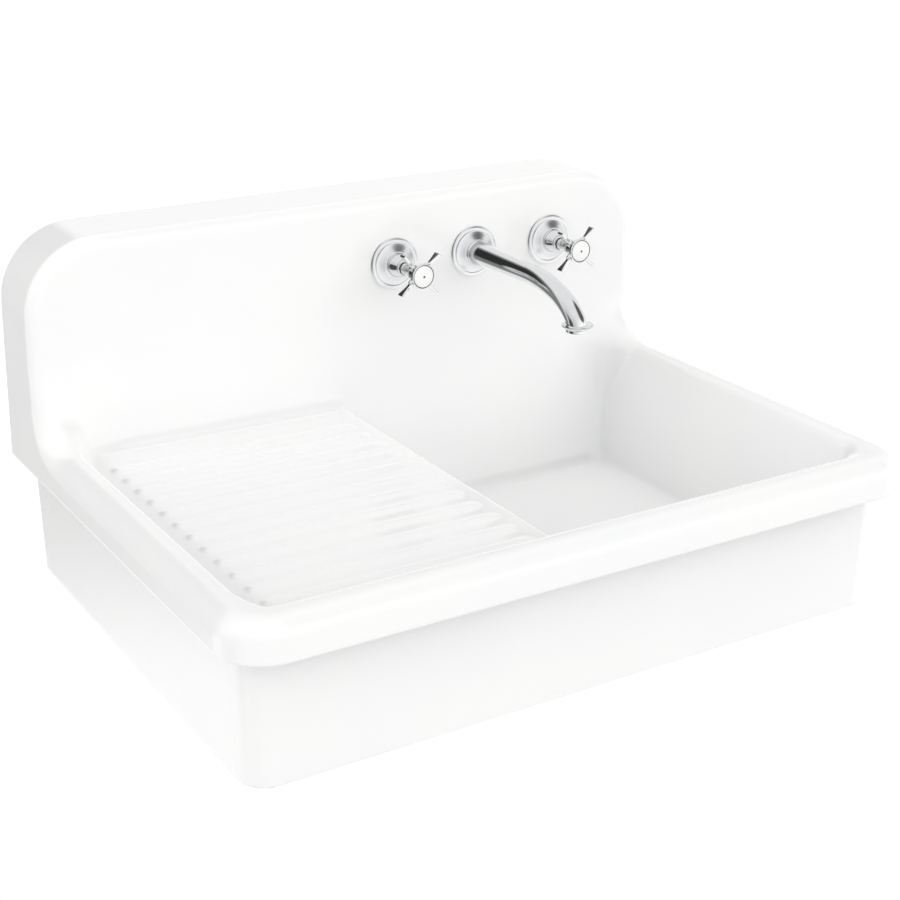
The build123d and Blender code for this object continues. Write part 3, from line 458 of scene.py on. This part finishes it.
# ---------------------------------------------------------------------------
# Pieces
# ---------------------------------------------------------------------------
HIDDEN_METAL = ["wall_hanger", "mixing_tee", "compression_nuts", "olives", "spout_shank", "spout_backnut",
                "spout_rear_washer"]
for tap in ("hot", "cold"):
    HIDDEN_METAL += [tap + n for n in ("_valve_body", "_backnut", "_rear_washer", "_transfer_pipe", "_cartridge",
                                       "_fixed_disc", "_moving_disc")]

shell = build_casting()
shell.data.materials.append(MATERIALS["enamel"])
shell.data.materials.append(GROUND)
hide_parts("sink_casting")
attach(shell, "root")


class Shape:
    """Gathers grids of points with their normals into one mesh."""

    def __init__(self):
        self.verts, self.normals, self.faces = [], [], []
        self.count = 0

    def grid(self, points, normals, close_rows=False):
        rows, cols = points.shape[:2]
        base = self.count
        self.verts.append(points.reshape(-1, 3))
        self.normals.append(normals.reshape(-1, 3))
        self.count += rows * cols
        for i in range(rows if close_rows else rows - 1):
            a, b = base + i * cols, base + ((i + 1) % rows) * cols
            for j in range(cols):
                k = (j + 1) % cols
                self.faces.append((a + j, a + k, b + k, b + j))

    def fan(self, ring, centre, normal):
        n = len(ring)
        base = self.count
        self.verts.append(np.vstack([ring, centre]))
        self.normals.append(np.tile(normal, (n + 1, 1)))
        self.count += n + 1
        for j in range(n):
            self.faces.append((base + j, base + (j + 1) % n, base + n))

    def make(self, name, flip=False):
        verts = np.vstack(self.verts)
        normals = np.vstack(self.normals)
        normals /= np.maximum(np.linalg.norm(normals, axis=1), 1e-9)[:, None]
        # every face winds to agree with its normals
        faces = []
        for f in self.faces:
            p = verts[list(f)]
            n = np.cross(p[1] - p[0], p[2] - p[0]) + (np.cross(p[2] - p[0], p[3] - p[0]) if len(f) == 4 else 0)
            faces.append(f if n @ normals[list(f)].sum(0) >= 0 else f[::-1])
        ob = mesh_object(name, to_m(verts), faces)
        if len(ob.data.vertices) == len(verts):
            ob.data.normals_split_custom_set_from_vertices([tuple(n) for n in normals])
        return ob


def eased(points, closed=False):
    """Rounds the corners of a profile of (a, b, reach) and gives points and left-hand normals."""
    pts = np.array([q[:2] for q in points], float)
    n = len(pts)
    out, tang = [], []
    for i, (a, b, reach) in enumerate(points):
        p = pts[i]
        if not closed and i in (0, n - 1):
            d = pts[1] - p if i == 0 else p - pts[n - 2]
            out.append(p)
            tang.append(d / np.linalg.norm(d))
            continue
        back, ahead = p - pts[i - 1], pts[(i + 1) % n] - p
        lb, la = np.linalg.norm(back), np.linalg.norm(ahead)
        ub, ua = back / lb, ahead / la
        t = min(reach, 0.5 * lb, 0.5 * la)
        parts = 3 if t < 0.5 else 5
        for k in range(parts + 1):
            w = k / parts
            start, end = p - ub * t, p + ua * t
            out.append(start * (1 - w) ** 2 + p * 2 * w * (1 - w) + end * w ** 2)
            d = ub * (1 - w) + ua * w
            tang.append(d / max(np.linalg.norm(d), 1e-9))
    out, tang = np.array(out), np.array(tang)
    return out, np.stack([tang[:, 1], -tang[:, 0]], 1)


def divided(points, normals, limit, closed=False):
    """Adds points so that no step is longer than limit."""
    rows = list(range(len(points)))
    out, nrm = [], []
    for i in rows:
        out.append(points[i])
        nrm.append(normals[i])
        j = i + 1
        if j == len(points):
            if not closed:
                break
            j = 0
        d = np.linalg.norm(points[j] - points[i])
        parts = int(math.ceil(d / limit))
        for k in range(1, parts):
            w = k / parts
            out.append(points[i] * (1 - w) + points[j] * w)
            nrm.append(normals[i] * (1 - w) + normals[j] * w)
    return np.array(out), np.array(nrm)


def turn(shape, profile, origin, axis, side, segments=96, closed=True, outward=1.0):
    """Revolves a profile of (radius, distance along the axis, reach) about an axis."""
    pts, nrm = eased(profile, closed)
    nrm = nrm * outward
    axis, side = np.array(axis, float), np.array(side, float)
    other = np.cross(axis, side)
    ang = np.arange(segments) * 2 * math.pi / segments
    radial = np.cos(ang)[:, None] * side + np.sin(ang)[:, None] * other
    grid = np.array(origin) + pts[:, 1][:, None, None] * axis + pts[:, 0][:, None, None] * radial[None]
    normal = nrm[:, 1][:, None, None] * axis + nrm[:, 0][:, None, None] * radial[None]
    shape.grid(grid, normal, close_rows=closed)
    if not closed:
        for row in (0, -1):
            if pts[row, 0] < 0.6:
                shape.fan(grid[row], np.array(origin) + axis * pts[row, 1], normal[row].mean(0))


SEGMENTS = 112
OUT = (0, -1, 0)
SIDE = (1, 0, 0)


def face_point(x):
    return (x, FACE_Y, TAP_H)


def piece(shape, name, node, body, slot, finish=None):
    ob = shape.make(name)
    ob.data.materials.append(finish or MATERIALS[slot])
    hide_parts(node)
    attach(ob, body)
    return ob


FLANGE = [
    (13.35, 1.6, 0.2), (13.35, 8.6, 0.3), (14.5, 8.6, 0.5), (15.3, 8.15, 0.9), (17.3, 6.35, 2.2), (20.3, 4.3, 2.0),
    (22.7, 3.1, 0.8), (23.6, 2.85, 0.35), (24.3, 3.45, 0.4), (25.8, 3.75, 0.9), (27.7, 3.05, 0.8), (28.55, 1.9, 0.5),
    (28.55, 0.02, 0.15), (25.0, 0.02, 0.1), (25.0, 1.6, 0.1),
]
BONNET = [
    (11.4, 8.65, 0.2), (13.75, 8.65, 0.2), (13.75, 9.5, 0.35), (13.0, 10.2, 0.35), (12.85, 12.0, 0.9), (11.9, 14.6, 1.4),
    (10.4, 17.6, 1.6), (9.15, 20.1, 1.0), (8.75, 21.2, 0.4), (9.1, 21.7, 0.25), (9.1, 23.3, 0.35), (8.5, 23.95, 0.3),
    (6.8, 23.95, 0.2), (6.8, 19.8, 0.3), (8.8, 16.6, 1.0), (9.6, 14.4, 1.0), (11.4, 10.9, 0.8),
]
HUB = [
    (3.9, 25.25, 0.1), (5.8, 25.25, 0.2), (6.3, 25.8, 0.2), (6.3, 26.8, 0.25), (5.5, 27.6, 0.4), (5.5, 34.0, 1.6),
    (6.0, 37.0, 1.5), (7.2, 40.5, 1.8), (8.8, 44.5, 2.0), (10.0, 48.0, 1.6), (10.4, 51.0, 1.4), (10.4, 57.5, 0.5),
    (11.4, 58.9, 0.5), (13.15, 59.5, 0.3), (13.75, 60.3, 0.4), (13.75, 63.2, 0.4), (13.4, 64.0, 0.25), (12.9, 64.15, 0.25),
    (12.4, 63.9, 0.2), (12.4, 60.65, 0.1), (4.35, 60.65, 0.1), (4.35, 57.4, 0.1), (3.9, 57.0, 0.1),
]
CAP = [
    (12.2, 60.8, 0.1), (12.2, 63.25, 0.35), (11.6, 63.85, 0.45), (9.4, 64.5, 1.2), (6.0, 64.95, 1.7), (0.5, 65.15, 0.2),
]
SEAT = [(11.55, 63.6, 0.1), (11.75, 64.0, 0.15), (12.25, 64.0, 0.15), (12.45, 63.6, 0.1)]
DOT = [(1.35, 65.0, 0.05), (1.3, 65.17, 0.08), (1.0, 65.24, 0.2), (0.05, 65.26, 0.02)]
# along the arm, half thickness, half width across the blade, squareness
ARM = [
    (6.5, 4.2, 4.2, 2.0), (13.3, 4.2, 4.2, 2.0), (13.9, 4.1, 4.1, 2.0), (14.3, 3.7, 3.7, 2.2), (14.5, 3.1, 3.3, 2.6),
    (14.9, 2.3, 2.8, 3.2), (15.6, 1.85, 2.55, 4.5), (17.0, 1.68, 2.6, 5.5), (19.0, 1.66, 2.8, 6.0), (21.5, 1.66, 3.2, 6.0),
    (24.0, 1.66, 3.72, 6.0), (26.5, 1.66, 4.35, 6.0), (28.7, 1.66, 4.95, 6.0), (30.0, 1.62, 5.2, 5.5), (30.5, 1.5, 5.1, 5.0),
    (30.8, 1.25, 4.85, 4.0), (30.95, 0.85, 4.5, 3.5),
]


def cross_arm(shape, x, angle):
    d = np.array((math.cos(angle), 0.0, math.sin(angle)))
    across = np.array((-d[2], 0.0, d[0]))
    origin = np.array((x, FACE_Y - 55.0, TAP_H))
    rows = np.array(ARM)
    keep = [rows[0]]
    for a, b in zip(rows[:-1], rows[1:]):
        parts = max(1, int((b[0] - a[0]) / 0.9))
        keep += [a + (b - a) * (k + 1) / parts for k in range(parts)]
    rows = np.array(keep)
    n = 56
    ang = (np.arange(n) + 0.5) * 2 * math.pi / n
    grid = np.empty((len(rows), n, 3))
    for i, (along, thick, wide, power) in enumerate(rows):
        c, s_ = np.cos(ang), np.sin(ang)
        u = np.sign(c) * np.abs(c) ** (2 / power) * thick
        v = np.sign(s_) * np.abs(s_) ** (2 / power) * wide
        grid[i] = origin + d * along + u[:, None] * across + v[:, None] * np.array((0.0, 1.0, 0.0))
    du = np.roll(grid, -1, 1) - np.roll(grid, 1, 1)
    dv = np.gradient(grid, axis=0)
    normal = np.cross(du, dv)
    normal /= np.maximum(np.linalg.norm(normal, axis=2), 1e-9)[..., None]
    centre = grid.mean(1, keepdims=True)
    if ((grid - centre) * normal).sum() < 0:
        normal = -normal
    shape.grid(grid, normal)
    shape.fan(grid[-1], grid[-1].mean(0), d)
    shape.fan(grid[0], grid[0].mean(0), -d)


for tap, x, rest in (("hot", HOT_X, -4.0), ("cold", COLD_X, 1.0)):
    flange = Shape()
    turn(flange, FLANGE, face_point(x), OUT, SIDE, SEGMENTS)
    piece(flange, tap + "_flange", tap + "_escutcheon", "root", "chrome", SATIN)
    bell = Shape()
    turn(bell, BONNET, face_point(x), OUT, SIDE, SEGMENTS)
    piece(bell, tap + "_bell", tap + "_bonnet", "root", "chrome")
    cross = Shape()
    turn(cross, HUB, face_point(x), OUT, SIDE, SEGMENTS)
    for quarter in range(4):
        cross_arm(cross, x, math.radians(rest + 45 + 90 * quarter))
    piece(cross, tap + "_cross", tap + "_cross_handle", tap + "_handle", "chrome")
    cap = Shape()
    turn(cap, CAP, face_point(x), OUT, SIDE, SEGMENTS, closed=False)
    cap.fan(np.array([(x + 12.2 * math.cos(a), FACE_Y - 60.8, TAP_H + 12.2 * math.sin(a))
                      for a in np.arange(SEGMENTS) * 2 * math.pi / SEGMENTS]), (x, FACE_Y - 60.8, TAP_H), (0, 1, 0))
    piece(cap, tap + "_cap", tap + "_index_cap", tap + "_handle", "index_ceramic")
    # dark seating ring round the cap, and a plain painted dot in place of a letter
    seat = Shape()
    turn(seat, SEAT, face_point(x), OUT, SIDE, SEGMENTS)
    piece(seat, tap + "_cap_seat", tap + "_index_cap", tap + "_handle", "index_ceramic", MATERIALS["rubber"])
    dot = Shape()
    turn(dot, DOT, face_point(x), OUT, SIDE, SEGMENTS, closed=False)
    piece(dot, tap + "_cap_dot", tap + "_index_cap", tap + "_handle", "index_ceramic", PAINT)

spout_flange = Shape()
turn(spout_flange, FLANGE, face_point(SPOUT_X), OUT, SIDE, SEGMENTS)
piece(spout_flange, "spout_flange", "spout_escutcheon", "root", "chrome", SATIN)


def spout_frame(s):
    """Centre of the spout and its direction, s along its line from the backsplash face."""
    y, h, beta, left = FACE_Y, TAP_H, 0.0, s
    for kind, size, turn_by in (("line", 116.0, 0.0), ("arc", 170.0, 18.0), ("arc", 70.0, 30.0), ("arc", 14.0, 42.0)):
        length = size if kind == "line" else size * math.radians(turn_by)
        step = min(left, length)
        if kind == "line":
            y -= step * math.cos(beta)
            h -= step * math.sin(beta)
        else:
            new = beta + step / size
            y -= size * (math.sin(new) - math.sin(beta))
            h -= size * (math.cos(beta) - math.cos(new))
            beta = new
        left -= step
        if left <= 0:
            break
    return np.array((SPOUT_X, y, h)), np.array((0.0, -math.cos(beta), -math.sin(beta)))


SPOUT_LENGTH = 116.0 + math.radians(18) * 170 + math.radians(30) * 70 + math.radians(42) * 14
tube_profile = [
    (13.15, 2.0, 0.1), (13.15, 8.5, 0.1), (14.3, 8.65, 0.25), (14.6, 10.0, 0.6), (14.0, 11.3, 0.6), (13.2, 12.0, 0.8),
    (12.5, 34.0, 8.0), (11.9, 60.0, 10.0), (11.3, 90.0, 10.0), (10.7, 116.0, 8.0), (10.7, SPOUT_LENGTH, 0.1),
    (8.0, SPOUT_LENGTH, 0.1), (8.0, 23.0, 0.5), (10.45, 22.0, 0.3), (10.45, 2.0, 0.1),
]
tube_pts, tube_nrm = eased(tube_profile, True)
tube_pts, tube_nrm = divided(tube_pts, tube_nrm, 1.8, True)
ring = np.arange(SEGMENTS) * 2 * math.pi / SEGMENTS
tube_grid = np.empty((len(tube_pts), SEGMENTS, 3))
tube_normal = np.empty_like(tube_grid)
for i, ((radius, s_at), (nr, ns)) in enumerate(zip(tube_pts, tube_nrm)):
    centre, along = spout_frame(s_at)
    up_dir = np.cross(along, np.array((1.0, 0.0, 0.0)))
    radial = np.cos(ring)[:, None] * np.array((1.0, 0.0, 0.0)) + np.sin(ring)[:, None] * up_dir
    tube_grid[i] = centre + radius * radial
    tube_normal[i] = nr * radial + ns * along
spout_shape = Shape()
spout_shape.grid(tube_grid, tube_normal, close_rows=True)
outlet, _ = spout_frame(SPOUT_LENGTH)
NOZZLE = [
    (8.0, 275.0, 0.2), (10.9, 275.1, 0.5), (13.0, 273.9, 1.2), (15.6, 274.35, 0.9), (16.5, 274.6, 0.25), (16.85, 274.1, 0.3),
    (16.3, 272.8, 0.7), (12.9, 271.3, 0.8), (12.2, 270.6, 0.4), (12.2, 267.7, 0.4), (11.7, 267.05, 0.3), (9.4, 267.05, 0.2),
    (9.2, 267.3, 0.1), (9.2, 271.45, 0.2), (8.0, 271.6, 0.2),
]
turn(spout_shape, [(r, h - outlet[2], e) for r, h, e in NOZZLE], tuple(outlet), (0, 0, 1), SIDE, SEGMENTS)
piece(spout_shape, "spout_body", "spout", "root", "chrome")

# ---------------------------------------------------------------------------
# Floor, light and camera
# ---------------------------------------------------------------------------
FLOOR_Z = -1.04          # the rim hangs 0.9 m above the floor


def add_stage():
    m = Nodes("pale_floor")
    n = m.noise(3.0, 2.0)
    tint = m.mix(m.range(n.outputs["Fac"], 0.3, 0.7, 0, 1), (0.74, 0.74, 0.74), (0.76, 0.76, 0.76))
    m.set(Base_Color=tint, Roughness=0.9, Emission_Color=(1, 1, 1, 1))
    # the paper sweep is burnt out to white in the picture, but bounces less light
    path = m.add("ShaderNodeLightPath")
    glow = m.add("ShaderNodeMath")
    glow.operation = "MULTIPLY"
    m.link(path.outputs["Is Camera Ray"], glow.inputs[0])
    glow.inputs[1].default_value = 0.36
    m.link(glow.outputs[0], m.bsdf.inputs["Emission Strength"])
    ob = mesh_object("floor", [(-14, -14, FLOOR_Z), (14, -14, FLOOR_Z), (14, 14, FLOOR_Z), (-14, 14, FLOOR_Z)],
                     [(0, 1, 2, 3)], smooth=False)
    ob.data.materials.append(m.mat)
    return ob


floor = add_stage()
# the metal mirrors the studio, not the casting behind it, as in the photograph
floor.visible_glossy = False
shell.visible_glossy = False
for hidden_node in HIDDEN_METAL:
    frame["nodes"][hidden_node].visible_glossy = False


# direction, where it starts and is full (cosine of the angle), amount added
GLOWS = [
    ((-0.95, 0.05, 0.25), 0.80, 0.96, 1.95),
    ((-0.35, -0.70, 0.62), 0.78, 0.96, 0.38),
    ((0.45, -0.85, 0.25), 0.75, 0.95, 1.38),
    ((0.92, -0.25, 0.30), 0.75, 0.95, 0.44),
    ((0.20, 0.00, 0.98), 0.70, 0.93, 0.12),
]
BASE = 0.61
# what polished surfaces see: a pale room, its screens and a bright front wall
# (direction, where the screen starts and is full, level there)
SCREENS = [
    ((0.50, -0.80, -0.30), 0.20, 0.92, 1.50),
    ((-0.95, -0.20, -0.10), 0.55, 0.98, 0.85),
    ((-0.36, 0.92, 0.12), 0.80, 0.87, 0.30),
    ((-0.39, 0.88, 0.22), 0.90, 0.95, 0.04),
    ((-0.96, 0.12, -0.15), 0.89, 0.95, 0.09),
    ((0.62, -0.42, 0.66), 0.86, 0.94, 0.16),
]
ROOM = 1.15
WORLD_STRENGTH = 0.984


def studio_world(glows, base, screens, room, strength):
    """A soft lit room, and a pale room with dark screens for reflections."""
    world = bpy.data.worlds.new("studio")
    bpy.context.scene.world = world
    world.use_nodes = True
    t = world.node_tree
    bg = t.nodes["Background"]
    coord = t.nodes.new("ShaderNodeTexCoord")

    def near(direction, start, full):
        dot = t.nodes.new("ShaderNodeVectorMath")
        dot.operation = "DOT_PRODUCT"
        dot.inputs[1].default_value = Vector(direction).normalized()
        t.links.new(coord.outputs["Generated"], dot.inputs[0])
        rng = t.nodes.new("ShaderNodeMapRange")
        rng.interpolation_type = "SMOOTHSTEP"
        rng.inputs["From Min"].default_value = start
        rng.inputs["From Max"].default_value = full
        t.links.new(dot.outputs["Value"], rng.inputs["Value"])
        return rng.outputs["Result"]

    def mix(factor, first, second):
        node = t.nodes.new("ShaderNodeMix")
        for socket, value in (("Factor", factor), ("A", first), ("B", second)):
            if isinstance(value, float):
                node.inputs[socket].default_value = value
            else:
                t.links.new(value, node.inputs[socket])
        return node.outputs["Result"]

    lit = t.nodes.new("ShaderNodeValue").outputs[0]
    lit.default_value = base
    for direction, start, full, amount in glows:
        node = t.nodes.new("ShaderNodeMath")
        node.operation = "MULTIPLY_ADD"
        t.links.new(near(direction, start, full), node.inputs[0])
        node.inputs[1].default_value = amount
        t.links.new(lit, node.inputs[2])
        lit = node.outputs[0]
    mirrored = t.nodes.new("ShaderNodeValue").outputs[0]
    mirrored.default_value = room
    for direction, start, full, value in screens:
        mirrored = mix(near(direction, start, full), mirrored, value)
    path = t.nodes.new("ShaderNodeLightPath")
    t.links.new(mix(path.outputs["Is Glossy Ray"], lit, mirrored), bg.inputs["Color"])
    bg.inputs["Strength"].default_value = strength
    seen = t.nodes.new("ShaderNodeBackground")
    seen.inputs["Color"].default_value = (1, 1, 1, 1)
    seen.inputs["Strength"].default_value = 1.0
    both = t.nodes.new("ShaderNodeMixShader")
    t.links.new(path.outputs["Is Camera Ray"], both.inputs["Fac"])
    t.links.new(bg.outputs["Background"], both.inputs[1])
    t.links.new(seen.outputs["Background"], both.inputs[2])
    t.links.new(both.outputs["Shader"], t.nodes["World Output"].inputs["Surface"])


studio_world(GLOWS, BASE, SCREENS, ROOM, WORLD_STRENGTH)


def area_light(name, location, target, size, power):
    data = bpy.data.lights.new(name, "AREA")
    data.shape = "RECTANGLE"
    data.size, data.size_y = size
    data.energy = power
    ob = bpy.data.objects.new(name, data)
    bpy.context.scene.collection.objects.link(ob)
    ob.location = location
    ob.rotation_mode = "QUATERNION"
    ob.rotation_quaternion = (Vector(target) - Vector(location)).to_track_quat("-Z", "Y")
    ob.visible_glossy = False
    return ob


area_light("key_light", (0.9, -1.1, 2.6), (0.05, -0.25, -0.1), (0.9, 0.9), 1.75)

cam_data = bpy.data.cameras.new("camera")
cam = bpy.data.objects.new("camera", cam_data)
bpy.context.scene.collection.objects.link(cam)
cam_data.sensor_width = 36.0
cam_data.lens = 68.01
cam.matrix_world = Matrix((
    (0.8545, 0.1900, -0.4835, -0.8353),
    (-0.5195, 0.3125, -0.7953, -1.6490),
    (0.0, 0.9307, 0.3657, 0.4730),
    (0, 0, 0, 1),
))
bpy.context.scene.camera = cam
bpy.context.scene.view_settings.view_transform = "Standard"
